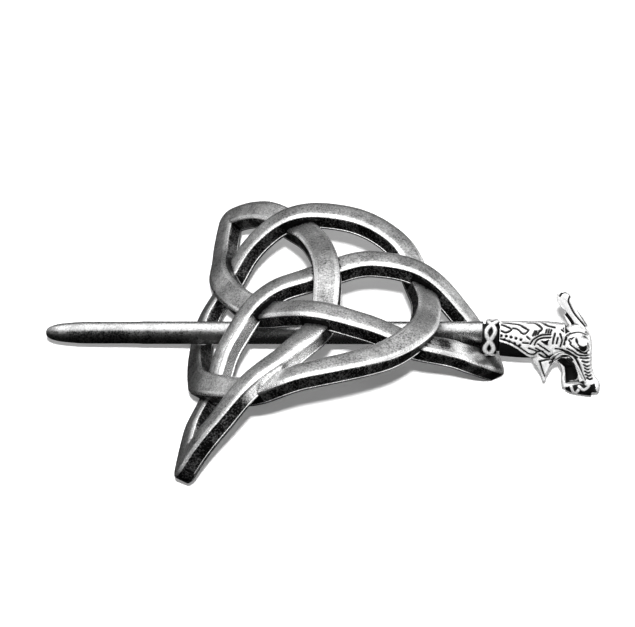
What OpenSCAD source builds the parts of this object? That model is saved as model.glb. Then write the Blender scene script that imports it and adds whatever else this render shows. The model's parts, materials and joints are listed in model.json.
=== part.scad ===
// Celtic-knot brooch: a bent openwork plate and a loose dragon-headed stick pin.
// Millimetres, +Z up, +X along the pin towards the dragon head.

/* [Knot] */
// Distance from the knot's middle to the tips, before the plate is bent
tip_radius = 50.8; // [48:0.1:54]
// Radius of the ring's centreline, before the plate is bent
ring_radius = 30.1; // [29:0.1:31]
// Width of a strand
strand_width = 6; // [5.6:0.1:6.2]
// Thickness of a strand, top face to back
strand_depth = 4; // [3.8:0.1:4.4]
// Width of the level middle of a strand's top face
top_width = 3.4; // [3:0.1:4]
// Drop of the top face from its level middle to the bevel
shoulder_drop = 0.25; // [0.1:0.05:0.4]
// How far the polished bevel cuts in from the side of a strand
bevel_width = 0.5; // [0.4:0.1:0.8]
// How far the bevel's lower edge lies below the top face
bevel_drop = 0.9; // [0.7:0.1:1.1]
// Rise of a strand where it passes over another
over_rise = 1; // [0.6:0.1:1.4]
// Dip of a strand where it passes under another
under_dip = 1.4; // [1:0.1:1.8]
// Distance from a crossing to where a rise or dip has faded
weave_reach = 12.5; // [11:0.5:14]

/* [Bend] */
// Radius that the flat plate is bent to
bend_radius = 40; // [38:0.5:44]
// Distance from the knot's middle to the line where the bend is level
bend_shift = 3; // [0:0.5:6]
// Turn of the bend's axis against the knot
bend_skew = -3.3; // [-5:0.1:0]
// Pitch of the bent plate, far end down
plate_pitch = -10.18; // [-11:0.01:-10]
// Lean of the plate, far side down
plate_lean = -4.42; // [-5:0.01:-4]
// Turn of the plate against the pin
plate_turn = 3.41; // [3:0.01:4]
// Height of the bend's crown above the ground
crown_height = 22.23; // [22.1:0.01:22.3]
// Place of the knot's middle, along the pin
knot_x = -1.95; // [-10:0.01:10]
// Place of the knot's middle, across the pin
knot_y = -0.11; // [-10:0.01:10]

/* [Pin] */
// Radius of the pin where it runs through the plate
pin_radius = 2.5; // [2.45:0.05:2.6]
// Radius of the pin's free end, behind its point
free_radius = 2.4; // [2.3:0.05:2.4]
// Length of the free end's even stretch
free_length = 10; // [6:0.5:12]
// Length of the pin, tip to collar
pin_length = 97.3; // [94:0.1:100]
// Distance along the pin from the knot's middle to the collar
pin_seat = 37.7; // [37.5:0.1:42]
// Height of the pin's axis above the knot's middle on the ground
pin_height = 9.66; // [9.5:0.01:9.8]
// Offset of the pin's axis from the knot's middle, across the pin
pin_offset = -0.94; // [-1.1:0.01:-0.8]
// Rise of the pin towards the head
pin_rise = 2.82; // [2.7:0.01:3]
// Gap worn between the pin and the plate
pin_clearance = 0.3; // [0.2:0.05:0.4]
// Radius of the stub that holds collar and head
stub_radius = 1.5; // [1.2:0.1:1.8]

/* [Collar] */
// Length of the collar
collar_length = 3.4; // [3:0.1:3.8]
// Radius of the collar's core
collar_core = 3; // [2.8:0.1:3.2]
// Radius of the two crossing wraps
wrap_radius = 0.6; // [0.5:0.05:0.8]
// Drop of the collar's middle below the pin's axis
collar_drop = 1; // [0.8:0.1:1.2]
// How far the wraps lean: top towards the head, bottom towards the point
collar_slant = 0.4; // [0.2:0.05:0.4]

/* [Head] */
// Roll of the head back from upright
head_roll = 40; // [30:0.1:45]
// Radius of the eyeball
eye_radius = 1.7; // [1.4:0.1:2]
// Radius of a raised line on the head
line_radius = 0.4; // [0.3:0.05:0.5]
// Gap between the pieces that are seated on each other
seat_gap = 0.05; // [0.03:0.01:0.1]

/* [Hidden] */
silver = [0.42, 0.42, 0.43];
bright = [0.72, 0.72, 0.73];

// Arcs between the tips: apex offset, angle and handle at the start tip, then at the end tip
ARC_APEX = 0;
ARC_START_ANGLE = 1;
ARC_START_HANDLE = 2;
ARC_END_ANGLE = 3;
ARC_END_HANDLE = 4;
arcs = [
    [6.5, 67.7, 31.5, 64.1, 41.0],
    [5.1, 54.1, 33.3, 67.0, 37.9],
    [6.5, 76.8, 30.1, 66.4, 33.0],
];
// Tips: change of radius and of angle from an even three-pointed layout
tips = [
    [0, 0],
    [-0.9, -3.5],
    [0, 0],
];
apex_handle = 6.8;
lobe_angle = 120;
half_steps = 20;
ring_steps = 84;
corner_steps = 6;
back_round = 0.5;
groove_sides = 64;
pin_sides = 48;
stub_sides = 32;
eye_sides = 24;

// Stations of a form of the head, seen from its side: place along the neck, height above the
// pin's axis, half height across the form, half depth towards the viewer
FORM_AT = 0;
FORM_UP = 1;
FORM_HALF = 2;
FORM_DEEP = 3;
neck = [
    [3.7, -1.15, 3.85, 3.2],
    [6.8, -1.3, 4, 3.4],
    [10, -1.4, 4.05, 3.5],
    [14, -1.4, 4, 3.6],
    [18, -1.3, 3.5, 3.6],
];
skull = [
    [20.6, 1.7, 1.4, 1.6],
    [20.4, 0.7, 2.8, 2.9],
    [20.1, -0.9, 3.5, 3.7],
    [19.9, -2.8, 3.8, 3.9],
    [20, -4.6, 3.6, 3.7],
    [21.2, -6.1, 2.5, 3.3],
    [22.1, -8, 1.7, 2.9],
    [22.7, -9.8, 1.7, 2.7],
    [23.3, -11.4, 2.1, 2.8],
    [23.3, -12.9, 1.7, 2.3],
];
nose = [
    [23.6, -12.1, 1.6, 2.6],
    [21.2, -11.9, 1.5, 2.5],
    [19.3, -11.7, 1.3, 2.3],
    [18, -11.4, 0.9, 1.9],
];
jaw = [
    [16.2, -4.8, 1, 2.4],
    [17, -6.4, 0.7, 2.3],
    [17.6, -8.2, 0.6, 2.1],
    [17.5, -10, 0.6, 2],
    [17.8, -11.7, 0.7, 1.8],
];
mouth = [
    [18.6, -4.8, 1.6, 1.2],
    [18.9, -7, 1.6, 0.9],
    [19.3, -9, 1.8, 0.8],
    [19.8, -11.5, 1.8, 0.9],
];
bridge = [
    [22.5, -1.5, 1, 2],
    [22.6, -4, 1, 2.4],
    [22.6, -6.5, 1, 2.5],
    [22.7, -9, 1, 2.4],
    [23.2, -11, 1.2, 2.4],
];
horn = [
    [21.5, 0.8, 1.7, 1.4],
    [20.7, 2.5, 1.45, 1.2],
    [19.4, 4.5, 1.35, 1.1],
    [18.1, 6.7, 1.65, 1.1],
    [17.4, 7.9, 1.6, 1.1],
    [17.2, 8.9, 1, 0.8],
];
ear = [
    [19.6, 1.2, 0.6, 0.9],
    [18.5, 2.7, 0.5, 0.8],
    [17.6, 4.1, 0.15, 0.3],
];
beard = [
    [13.4, -4.2, 3.4, 1.8],
    [13.2, -6.2, 2.5, 1.6],
    [13.2, -7.6, 1.5, 1.3],
    [13.2, -9, 0.75, 1],
    [13.2, -10.5, 0.3, 0.5],
];
eye = [21.7, -2.6, 2.9];
brow = [
    [17.8, -0.9, 3.5], [19.1, -0.1, 3.2], [20.9, 0.1, 3], [22.5, -0.5, 2.6],
    [23.1, -2, 2], [22.9, -3.8, 2.2],
];
upper_lip = [
    [14.6, -5.9, 1.4], [15.7, -5, 2.6], [17.2, -4.4, 3.2], [18.7, -4.8, 3.4],
    [20.2, -6.2, 3.1], [21.5, -8.5, 2.7], [22.4, -10.5, 2.6],
];
under_lip = [
    [15.2, -6.3, 1.5], [16.2, -5.7, 2.3], [17.4, -5.2, 2.8], [18.6, -5.6, 3],
    [19.7, -6.9, 2.9], [20.8, -8.9, 2.4], [21.4, -10.5, 2.4],
];
form_steps = 3;
form_sides = 16;
line_sides = 6;
stub_depth = 2;
wrap_swing = 0.95;
wrap_waves = 3;
wrap_high = 3.45;
wrap_deep = 3.2;
wrap_steps = 48;
wrap_sides = 6;

function turned(p, a) = [p.x * cos(a) - p.y * sin(a), p.x * sin(a) + p.y * cos(a)];
function polar(r, a) = [r * cos(a), r * sin(a)];
function unit(v) = v / norm(v);
function bezier(a, b, c, d, t) =
    pow(1 - t, 3) * a + 3 * pow(1 - t, 2) * t * b + 3 * (1 - t) * t * t * c + pow(t, 3) * d;
function tip_point(k) = polar(tip_radius + tips[k][0], lobe_angle * (k + 1) + tips[k][1]);

// Centreline of one arc from tip k to the next, in the flat plate
function arc_points(k) =
    let (
        row = arcs[k],
        spin = lobe_angle * k,
        apex = polar(row[ARC_APEX], spin),
        along = turned([0, 1], spin),
        first = tip_point(k),
        last = tip_point((k + 1) % 3),
        out_first = turned([-sin(row[ARC_START_ANGLE]), cos(row[ARC_START_ANGLE])], spin),
        out_last = turned([-sin(row[ARC_END_ANGLE]), -cos(row[ARC_END_ANGLE])], spin)
    )
    concat(
        [for (i = [0:half_steps - 1])
            bezier(first, first - row[ARC_START_HANDLE] * out_first,
                apex + apex_handle * along, apex, i / half_steps)],
        [for (i = [0:half_steps])
            bezier(apex, apex - apex_handle * along,
                last - row[ARC_END_HANDLE] * out_last, last, i / half_steps)]
    );
arc_lines = [for (k = [0:2]) arc_points(k)];

// Where an arc crosses the ring, going in and coming out
function ring_crossing(p, inwards) =
    [for (i = [0:len(p) - 2])
        let (a = norm(p[i]) - ring_radius, b = norm(p[i + 1]) - ring_radius)
        if (inwards ? (a > 0 && b <= 0) : (a < 0 && b >= 0))
            p[i] + (p[i + 1] - p[i]) * a / (a - b)][0];
// Where an arc crosses the other arcs, on lines 60 degrees to either side of its apex
function side_of(p, k, side) = turned(p, -lobe_angle * k - side * lobe_angle / 2).y;
function arc_crossing(p, k, side) =
    [for (i = [floor(half_steps / 3):len(p) - 2 - floor(half_steps / 3)])
        let (a = side_of(p[i], k, side), b = side_of(p[i + 1], k, side))
        if (a > 0 && b <= 0) p[i] + (p[i + 1] - p[i]) * a / (a - b)][0];
arc_under = [for (k = [0:2]) [ring_crossing(arc_lines[k], true), arc_crossing(arc_lines[k], k, -1)]];
arc_over = [for (k = [0:2]) [arc_crossing(arc_lines[k], k, 1), ring_crossing(arc_lines[k], false)]];
ring_under = [for (k = [0:2]) arc_over[k][1]];
ring_over = [for (k = [0:2]) arc_under[k][0]];

function swell(d) = d < weave_reach ? pow(cos(90 * d / weave_reach), 2) : 0;
function fade(p, places) = [for (c = places) swell(norm(p - c))] * [for (c = places) 1];
function weave(p, over, under) = over_rise * fade(p, over) - under_dip * fade(p, under);

// The bend: a flat point and a height above the plate go to their place in space
function bend_angle(p) = (turned(p, bend_skew).x - bend_shift) / bend_radius * 180 / PI;
function pitched(v) = [
    v.x * cos(plate_pitch) + v.z * sin(plate_pitch),
    v.y,
    v.z * cos(plate_pitch) - v.x * sin(plate_pitch)
];
function leaned(v) = [
    v.x,
    v.y * cos(plate_lean) - v.z * sin(plate_lean),
    v.y * sin(plate_lean) + v.z * cos(plate_lean)
];
function posed(v) = let (w = leaned(pitched(v)), q = turned([w.x, w.y], plate_turn)) [q.x, q.y, w.z];
function bent(p, h) =
    let (a = bend_angle(p), r = bend_radius + h)
    posed([r * sin(a), turned(p, bend_skew).y, r * cos(a) - bend_radius]) + [knot_x, knot_y, crown_height];
function bent_normal(p) = let (a = bend_angle(p)) posed([sin(a), 0, cos(a)]);
// A direction in the flat plate, as it lies in space
function bent_way(p, d) =
    let (a = bend_angle(p), e = turned(d, bend_skew))
    posed([e.x * cos(a), e.y, -e.x * sin(a)]);

// One cross-section of a strand, square to the plate
section = let (w = strand_width / 2) [
    [-top_width / 2, 0],
    [top_width / 2, 0],
    [w - bevel_width, -shoulder_drop],
    [w, -bevel_drop],
    [w, -strand_depth + back_round],
    [w - back_round, -strand_depth],
    [-w + back_round, -strand_depth],
    [-w, -strand_depth + back_round],
    [-w, -bevel_drop],
    [-w + bevel_width, -shoulder_drop],
];
function section_at(p, heading, h) =
    let (
        middle = bent(p, h),
        side = bent_way(p, turned(heading, -90)),
        up = bent_normal(p)
    )
    [for (s = section) middle + s.x * side + s.y * up];

function heading_at(p, i) = unit(p[min(i + 1, len(p) - 1)] - p[max(i - 1, 0)]);
function arc_sections(k) =
    let (p = arc_lines[k])
    [for (i = [0:len(p) - 1]) section_at(p[i], heading_at(p, i), weave(p[i], arc_over[k], arc_under[k]))];
// The rounded corner at the end of arc k, where the next arc starts
function corner_sections(k) =
    let (
        p = arc_lines[k],
        q = arc_lines[(k + 1) % 3],
        d = heading_at(p, len(p) - 1),
        e = heading_at(q, 0),
        turn = atan2(d.x * e.y - d.y * e.x, d * e)
    )
    [for (i = [0:corner_steps]) section_at(q[0], turned(d, turn * i / corner_steps), 0)];
ring_sections = [for (i = [0:ring_steps])
    let (a = 360 * i / ring_steps, p = polar(ring_radius, a))
    section_at(p, turned([0, 1], a), weave(p, ring_over, ring_under))];

// One swept solid through its sections; a closed one's last section leads back to its first
module strand(sections, closed = false) {
    loop(closed ? [for (i = [0:len(sections) - 2]) sections[i]] : sections, closed);
}
module loop(sections, closed = false) {
    n = len(sections[0]);
    last = len(sections) - 1;
    sides = [for (i = [0:closed ? last : last - 1]) for (j = [0:n - 1])
        let (a = i * n + j, b = i * n + (j + 1) % n, next = i == last ? -i * n : n)
        each [[a, b + next, b], [a, a + next, b + next]]];
    caps = closed ? [] : [[for (j = [0:n - 1]) j], [for (j = [0:n - 1]) last * n + n - 1 - j]];
    polyhedron(points = [for (row = sections) each row], faces = concat(sides, caps));
}

// The rounded corner where two arcs meet
module corner(sections) {
    hull() strand(sections);
}

module knot() {
    color(silver) difference() {
        union() {
            for (k = [0:2]) {
                strand(arc_sections(k));
                corner(corner_sections(k));
            }
            strand(ring_sections, closed = true);
        }
        // Rooms for the pin and its collar
        along_pin() rotate([0, 90, 0])
            cylinder(r = pin_radius + pin_clearance, h = 2 * tip_radius + pin_seat, center = true, $fn = groove_sides);
        on_collar() translate([-pin_clearance - collar_slant, 0, 0]) rotate([0, 90, 0])
            cylinder(r = wrap_high + wrap_radius + pin_clearance, h = 3 * collar_length, $fn = groove_sides);
        // Flats at the feet, where the plate stands on the ground
        translate([-pin_length, -pin_length, -tip_radius])
            cube([2 * pin_length, 2 * pin_length, tip_radius]);
    }
}

// Puts a piece drawn along +X from the collar's face onto the pin's axis
module on_pin() {
    along_pin() translate([pin_seat, 0, 0]) children();
}
// Puts a piece on the collar's axis, which lies a little below the pin's
module on_collar() {
    on_pin() rotate([90 - head_roll, 0, 0]) translate([0, -collar_drop, 0]) children();
}
module along_pin() {
    translate([knot_x, knot_y + pin_offset, pin_height]) rotate([0, -pin_rise, 0]) children();
}

// Point of the pin: distance from the tip, and radius there as a share of the free end's
POINT_AT = 0;
POINT_SHARE = 1;
point_rows = [
    [0, 0],
    [0.2, 0.3],
    [0.8, 0.52],
    [1.8, 0.69],
    [3.6, 0.84],
    [6.2, 0.94],
    [9.5, 1],
];
swell_length = 2.5;
module pin_shaft() {
    free_end = point_rows[len(point_rows) - 1][POINT_AT] + free_length;
    color(bright) on_pin() {
        translate([-pin_length, 0, 0]) rotate([0, 90, 0]) rotate_extrude($fn = pin_sides)
            polygon(concat(
                [for (row = point_rows) [free_radius * row[POINT_SHARE], row[POINT_AT]]],
                [
                    [free_radius, free_end],
                    [pin_radius, free_end + swell_length],
                    [pin_radius, pin_length - seat_gap],
                    [0, pin_length - seat_gap],
                ]
            ));
        translate([-pin_radius, 0, 0]) rotate([0, 90, 0])
            cylinder(r = stub_radius, h = pin_radius + collar_length + stub_depth - seat_gap, $fn = stub_sides);
    }
}

// One wrap of the collar: a closed tube that swings to and fro around the core
function wrap_point(a, side) = [
    collar_length / 2 + side * wrap_swing * cos(wrap_waves * a) + collar_slant * cos(a),
    wrap_high * cos(a),
    wrap_deep * sin(a)
];
function ring_about(p, ahead, up, radius, sides) =
    let (side = unit(cross(ahead, up)), lift = cross(side, ahead))
    [for (j = [0:sides - 1]) p + radius * (cos(360 * j / sides) * side - sin(360 * j / sides) * lift)];
module wrap(side) {
    loop(
        [for (i = [0:wrap_steps - 1])
            let (
                a = 360 * i / wrap_steps,
                p = wrap_point(a, side),
                ahead = unit(wrap_point(a + 1, side) - wrap_point(a - 1, side))
            )
            ring_about(p, ahead, [0, cos(a), sin(a)], wrap_radius, wrap_sides)],
        closed = true
    );
}

module pin_collar() {
    color(bright) difference() {
        on_collar() {
            rotate([0, 90, 0]) cylinder(r = collar_core, h = collar_length, $fn = pin_sides);
            for (side = [-1, 1]) wrap(side);
        }
        on_pin() translate([-collar_length, 0, 0]) rotate([0, 90, 0])
            cylinder(r = stub_radius + seat_gap, h = 3 * collar_length, $fn = stub_sides);
    }
}

// A swept form of the head, smoothed through its stations
function between(rows, i, t) =
    let (
        last = len(rows) - 1,
        a = rows[max(i - 1, 0)],
        b = rows[i],
        c = rows[min(i + 1, last)],
        d = rows[min(i + 2, last)]
    )
    b + t * ((c - a) / 2 + t * (a - 2.5 * b + 2 * c - d / 2 + t * (1.5 * (b - c) + (d - a) / 2)));
function smooth(rows) = concat(
    [for (i = [0:len(rows) - 2]) for (j = [0:form_steps - 1]) between(rows, i, j / form_steps)],
    [rows[len(rows) - 1]]
);
function form_section(row, ahead) = [
    for (j = [0:form_sides - 1])
        let (a = 360 * j / form_sides)
        [
            row[FORM_AT] - ahead.y * row[FORM_HALF] * cos(a),
            row[FORM_UP] + ahead.x * row[FORM_HALF] * cos(a),
            row[FORM_DEEP] * sin(a)
        ]
];
module form(rows) {
    p = smooth(rows);
    loop([for (i = [0:len(p) - 1])
        let (d = p[min(i + 1, len(p) - 1)] - p[max(i - 1, 0)])
        form_section(p[i], unit([d.x, d.y]))]);
}
// A raised line along points on the head, on both of its sides
module line(points, radius = line_radius) {
    for (side = [-1, 1])
        loop([for (i = [0:len(points) - 1])
            let (
                p = points[i],
                d = points[min(i + 1, len(points) - 1)] - points[max(i - 1, 0)]
            )
            ring_about([p.x, p.y, side * p.z], unit([d.x, d.y, side * d.z]), [0, 0, side], radius, line_sides)]);
}

module dragon_head() {
    color(bright) on_pin() rotate([90 - head_roll, 0, 0]) difference() {
        union() {
            for (rows = [neck, skull, bridge, nose, jaw, mouth, horn, ear, beard]) form(rows);
            for (side = [-1, 1]) translate([eye.x, eye.y, side * eye.z]) sphere(r = eye_radius, $fn = eye_sides);
            for (points = [brow, upper_lip, under_lip]) line(points);
        }
        translate([-collar_length, 0, 0]) rotate([0, 90, 0])
            cylinder(r = stub_radius + seat_gap, h = 2 * collar_length + stub_depth, $fn = stub_sides);
    }
}

knot();
pin_shaft();
pin_collar();
dragon_head();
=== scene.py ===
"""Looks of the Celtic-knot brooch with its dragon-headed stick pin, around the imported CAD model.

Every shape is worked out in millimetres, in the CAD model's frame: +X along the pin towards the
dragon head, +Y away from the viewer, +Z up from the ground. The head is worked out in its own
frame: x along the pin from the collar, y up the side of the head, z out of the side that shows.
"""

import json

import bmesh
import bpy
import numpy as np
from mathutils import Matrix, Vector


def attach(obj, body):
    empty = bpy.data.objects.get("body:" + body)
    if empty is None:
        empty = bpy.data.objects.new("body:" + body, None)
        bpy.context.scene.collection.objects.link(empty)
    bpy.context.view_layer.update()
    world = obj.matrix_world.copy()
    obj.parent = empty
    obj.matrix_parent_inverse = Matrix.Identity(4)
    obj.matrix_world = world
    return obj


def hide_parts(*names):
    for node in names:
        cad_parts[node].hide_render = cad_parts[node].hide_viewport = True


MM = 0.001

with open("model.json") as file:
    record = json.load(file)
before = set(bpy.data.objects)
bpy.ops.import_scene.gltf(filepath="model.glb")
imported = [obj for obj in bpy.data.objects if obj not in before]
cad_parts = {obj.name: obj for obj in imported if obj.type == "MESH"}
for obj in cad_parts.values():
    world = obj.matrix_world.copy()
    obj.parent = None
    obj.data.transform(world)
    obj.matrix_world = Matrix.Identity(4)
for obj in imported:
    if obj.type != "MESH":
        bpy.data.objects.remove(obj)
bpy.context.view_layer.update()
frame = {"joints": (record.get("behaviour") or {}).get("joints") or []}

# The pin's line, from the frame
PIN_WAY = np.array(frame["joints"][0]["axis"])

# The pin and its collar, as in the CAD model
PIN_RADIUS = 2.5
PIN_CLEARANCE = 0.3
COLLAR_LENGTH = 3.4
COLLAR_CORE = 3.0
COLLAR_DROP = 1.0
COLLAR_SLANT = 0.4
WRAP_HIGH = 3.45
WRAP_RADIUS = 0.6
SEAT_GAP = 0.05
HEAD_ROLL = 40.0

# The knot, as in the CAD model
TIP_RADIUS = 50.8
RING_RADIUS = 30.1
STRAND_WIDTH = 6.0
OVER_RISE = 1.0
UNDER_DIP = 1.4
WEAVE_REACH = 12.5
BEND_RADIUS = 40.0
BEND_SHIFT = 3.0
BEND_SKEW = -3.3
PLATE_PITCH = -10.18
PLATE_LEAN = -4.42
PLATE_TURN = 3.41
CROWN = np.array([-1.95, -0.11, 22.23])
PIN_OFFSET = -0.94
PIN_HEIGHT = 9.66
PIN_SEAT = 37.7
LOBE_ANGLE = 120
APEX_HANDLE = 6.8
# Arcs between the tips: apex offset, angle and handle at the start tip, then at the end tip
ARCS = [
    {"apex": 6.5, "start_angle": 67.7, "start_handle": 31.5, "end_angle": 64.1, "end_handle": 41.0},
    {"apex": 5.1, "start_angle": 54.1, "start_handle": 33.3, "end_angle": 67.0, "end_handle": 37.9},
    {"apex": 6.5, "start_angle": 76.8, "start_handle": 30.1, "end_angle": 66.4, "end_handle": 33.0},
]
# Tips: change of radius and of angle from an even three-pointed layout
TIPS = [
    {"radius": 0.0, "angle": 0.0},
    {"radius": -0.9, "angle": -3.5},
    {"radius": 0.0, "angle": 0.0},
]

# The photograph's camera
AIM = Vector((-0.182, -3.805, 17.552)) * MM
CAMERA_DISTANCE = 666.7 * MM
CAMERA_AZIMUTH = 7.227
CAMERA_ELEVATION = 39.747
CAMERA_ROLL = -2.469
CAMERA_LENS = 173.9
SENSOR_WIDTH = 36.0
CLIP_SHARE = 0.01

# Layer of the meshes that holds their blackening, real patina together with painted shade: 0 bare, 1 black
PATINA_AND_SHADE_LAYER = "patina_and_shade"
# Sides of the bars and of the collar's core
ROUND_SIDES = 64
# Least angle between faces that stays sharp
SHARP_ANGLE = 40


# Small tools

def turned(p, degrees):
    """Points or directions in a plane, turned about its origin."""
    a = np.radians(degrees)
    x, y = p[..., 0], p[..., 1]
    return np.stack([x * np.cos(a) - y * np.sin(a), x * np.sin(a) + y * np.cos(a)], axis=-1)


def polar(radius, degrees):
    """Points at a radius and an angle."""
    a = np.radians(degrees)
    return np.stack([radius * np.cos(a), radius * np.sin(a)], axis=-1)


def unit(v):
    return v / np.linalg.norm(v, axis=-1, keepdims=True)


def headings(p, closed=False):
    """Directions along a line of points."""
    if closed:
        return unit(np.roll(p, -1, axis=0) - np.roll(p, 1, axis=0))
    return unit(np.gradient(p, axis=0))


def even(p, step):
    """The same open line with points about one step apart."""
    along = np.concatenate([[0], np.cumsum(np.linalg.norm(np.diff(p, axis=0), axis=1))])
    places = np.linspace(0, along[-1], max(2, int(along[-1] / step)))
    return np.stack([np.interp(places, along, p[:, i]) for i in range(p.shape[1])], axis=-1)


def smooth(rows, steps):
    """Rows joined by Catmull-Rom curves."""
    rows = np.asarray(rows, float)
    padded = np.concatenate([rows[:1], rows, rows[-1:]])
    t = (np.arange(steps) / steps)[:, None]
    out = []
    for a, b, c, d in zip(padded[:-3], padded[1:-2], padded[2:-1], padded[3:]):
        square = a - 2.5 * b + 2 * c - d / 2
        cubic = 1.5 * (b - c) + (d - a) / 2
        out.append(b + t * ((c - a) / 2 + t * (square + t * cubic)))
    return np.concatenate(out + [rows[-1:]])


def new_object(name, data):
    piece = bpy.data.objects.new(name, data)
    bpy.context.scene.collection.objects.link(piece)
    return piece


def faceted(name, vertices, faces):
    """An object with a mesh of vertices in millimetres."""
    mesh = bpy.data.meshes.new(name)
    mesh.from_pydata((np.asarray(vertices) * MM).tolist(), [], faces)
    mesh.update()
    return new_object(name, mesh)


def sweep(name, sections, closed=False):
    """One solid swept through rows of section points, each row in the same order."""
    rows, sides = sections.shape[:2]
    faces = []
    for i in range(rows if closed else rows - 1):
        here, there = i * sides, (i + 1) % rows * sides
        for j in range(sides):
            k = (j + 1) % sides
            faces.append((here + j, here + k, there + k, there + j))
    if not closed:
        faces.append(tuple(reversed(range(sides))))
        faces.append(tuple((rows - 1) * sides + j for j in range(sides)))
    piece = faceted(name, sections.reshape(-1, 3), faces)
    make_outward(piece)
    return piece


def make_outward(piece):
    """Turns all the faces outwards."""
    work = bmesh.new()
    work.from_mesh(piece.data)
    bmesh.ops.recalc_face_normals(work, faces=work.faces)
    work.to_mesh(piece.data)
    work.free()


def hull(name, points):
    """The convex solid round some points."""
    work = bmesh.new()
    for p in np.asarray(points) * MM:
        work.verts.new(p)
    bmesh.ops.convex_hull(work, input=work.verts)
    loose = [v for v in work.verts if not v.link_faces]
    bmesh.ops.delete(work, geom=loose, context="VERTS")
    mesh = bpy.data.meshes.new(name)
    work.to_mesh(mesh)
    work.free()
    piece = new_object(name, mesh)
    make_outward(piece)
    return piece


def tube(name, points, radius, sides, closed=False, up=(0, 0, 1)):
    """A round bar along points."""
    points = np.asarray(points, float)
    ahead = headings(points, closed)
    side = unit(np.cross(ahead, np.broadcast_to(up, points.shape)))
    lift = np.cross(side, ahead)
    a = np.linspace(0, 2 * np.pi, sides, endpoint=False)
    ring = np.cos(a)[None, :, None] * side[:, None] + np.sin(a)[None, :, None] * lift[:, None]
    return sweep(name, points[:, None] + radius * ring, closed)


def lathe(name, rows, sides):
    """A solid turned about X from rows of place along X and radius."""
    a = np.linspace(0, 2 * np.pi, sides, endpoint=False)
    sections = [[(x, r * np.cos(b), r * np.sin(b)) for b in a] for x, r in rows]
    return sweep(name, np.array(sections))


def bake_modifiers(piece):
    """Replaces a piece's mesh by what its modifiers make of it."""
    graph = bpy.context.evaluated_depsgraph_get()
    mesh = bpy.data.meshes.new_from_object(piece.evaluated_get(graph))
    piece.modifiers.clear()
    piece.data = mesh


def combine(piece, others, operation):
    """Joins the others to the piece, or cuts them from it, and takes them away."""
    for other in others:
        modifier = piece.modifiers.new(operation, "BOOLEAN")
        modifier.operation = operation
        modifier.solver = "MANIFOLD"
        modifier.object = other
    bake_modifiers(piece)
    for other in others:
        bpy.data.objects.remove(other)


def triples(items, key):
    """A numpy array of what three numbers each of the items holds under a key."""
    numbers = np.empty(len(items) * 3)
    items.foreach_get(key, numbers)
    return numbers.reshape(-1, 3)


def vertex_places(piece):
    """Places of the vertices, in millimetres."""
    return triples(piece.data.vertices, "co") / MM


def vertex_normals(piece):
    return triples(piece.data.vertex_normals, "vector")


def face_middles(piece):
    """Middles of the faces, in millimetres."""
    return triples(piece.data.polygons, "center") / MM


def face_normals(piece):
    return triples(piece.data.polygons, "normal")


def paint_vertices(piece, patina_and_shade):
    layer = piece.data.attributes.new(PATINA_AND_SHADE_LAYER, "FLOAT", "POINT")
    layer.data.foreach_set("value", np.asarray(patina_and_shade, np.float32))


def paint_faces(piece, patina_and_shade):
    polygons = piece.data.polygons
    corners = np.empty(len(polygons), int)
    polygons.foreach_get("loop_total", corners)
    layer = piece.data.attributes.new(PATINA_AND_SHADE_LAYER, "FLOAT", "CORNER")
    layer.data.foreach_set("value", np.asarray(np.repeat(patina_and_shade, corners), np.float32))


def shade(piece, sharp_angle):
    piece.data.shade_smooth()
    piece.data.set_sharp_from_angle(angle=np.radians(sharp_angle))


def dress(piece, body, node, material):
    """Gives a piece its material and the body that it rides on, and hides the CAD node that it replaces."""
    piece.data.materials.clear()
    piece.data.materials.append(material)
    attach(piece, body)
    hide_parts(node)


# The camera

def rotation(azimuth, elevation, roll):
    """The way from the object to a place round it, and the turn of something there that faces back."""
    back = Vector((0, -1, 0))
    back.rotate(Matrix.Rotation(np.radians(-elevation), 3, "X"))
    back.rotate(Matrix.Rotation(np.radians(azimuth), 3, "Z"))
    turn = back.to_track_quat("Z", "Y").to_matrix()
    return back, turn @ Matrix.Rotation(np.radians(roll), 3, "Z")


def make_camera():
    data = bpy.data.cameras.new("camera")
    data.lens = CAMERA_LENS
    data.sensor_width = SENSOR_WIDTH
    data.sensor_fit = "HORIZONTAL"
    data.clip_start = CAMERA_DISTANCE * CLIP_SHARE
    camera = new_object("camera", data)
    back, turn = rotation(CAMERA_AZIMUTH, CAMERA_ELEVATION, CAMERA_ROLL)
    camera.matrix_world = Matrix.Translation(AIM + back * CAMERA_DISTANCE) @ turn.to_4x4()
    bpy.context.scene.camera = camera
    bpy.context.scene.view_settings.view_transform = "Standard"


# The knot

HALF_ARC_POINTS = 200
# One part of this many at each end of an arc lies beyond the other arcs
ARC_PARTS = 6


def tip_point(k):
    return polar(TIP_RADIUS + TIPS[k]["radius"], LOBE_ANGLE * (k + 1) + TIPS[k]["angle"])


def bezier(a, b, c, d, t):
    t = t[:, None]
    return (1 - t) ** 3 * a + 3 * (1 - t) ** 2 * t * b + 3 * (1 - t) * t * t * c + t**3 * d


def arc_line(k):
    """Centreline of one arc from tip k to the next, in the flat plate."""
    row, spin = ARCS[k], LOBE_ANGLE * k
    apex = polar(row["apex"], spin)
    along = turned(np.array([0.0, 1.0]), spin)
    first, last = tip_point(k), tip_point((k + 1) % len(ARCS))
    out_first = turned(polar(1.0, 90 + row["start_angle"]), spin)
    out_last = turned(polar(1.0, 270 - row["end_angle"]), spin)
    t = np.linspace(0, 1, HALF_ARC_POINTS)
    start = bezier(first, first - row["start_handle"] * out_first, apex + APEX_HANDLE * along, apex, t)
    end = bezier(apex, apex - APEX_HANDLE * along, last - row["end_handle"] * out_last, last, t)
    return np.concatenate([start, end[1:]])


def first_sign_change(p, values, rising):
    """The place on a line of points where values first cross zero."""
    a, b = values[:-1], values[1:]
    found = (a < 0) & (b >= 0) if rising else (a > 0) & (b <= 0)
    i = int(np.flatnonzero(found)[0])
    return p[i] + (p[i + 1] - p[i]) * a[i] / (a[i] - b[i])


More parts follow.
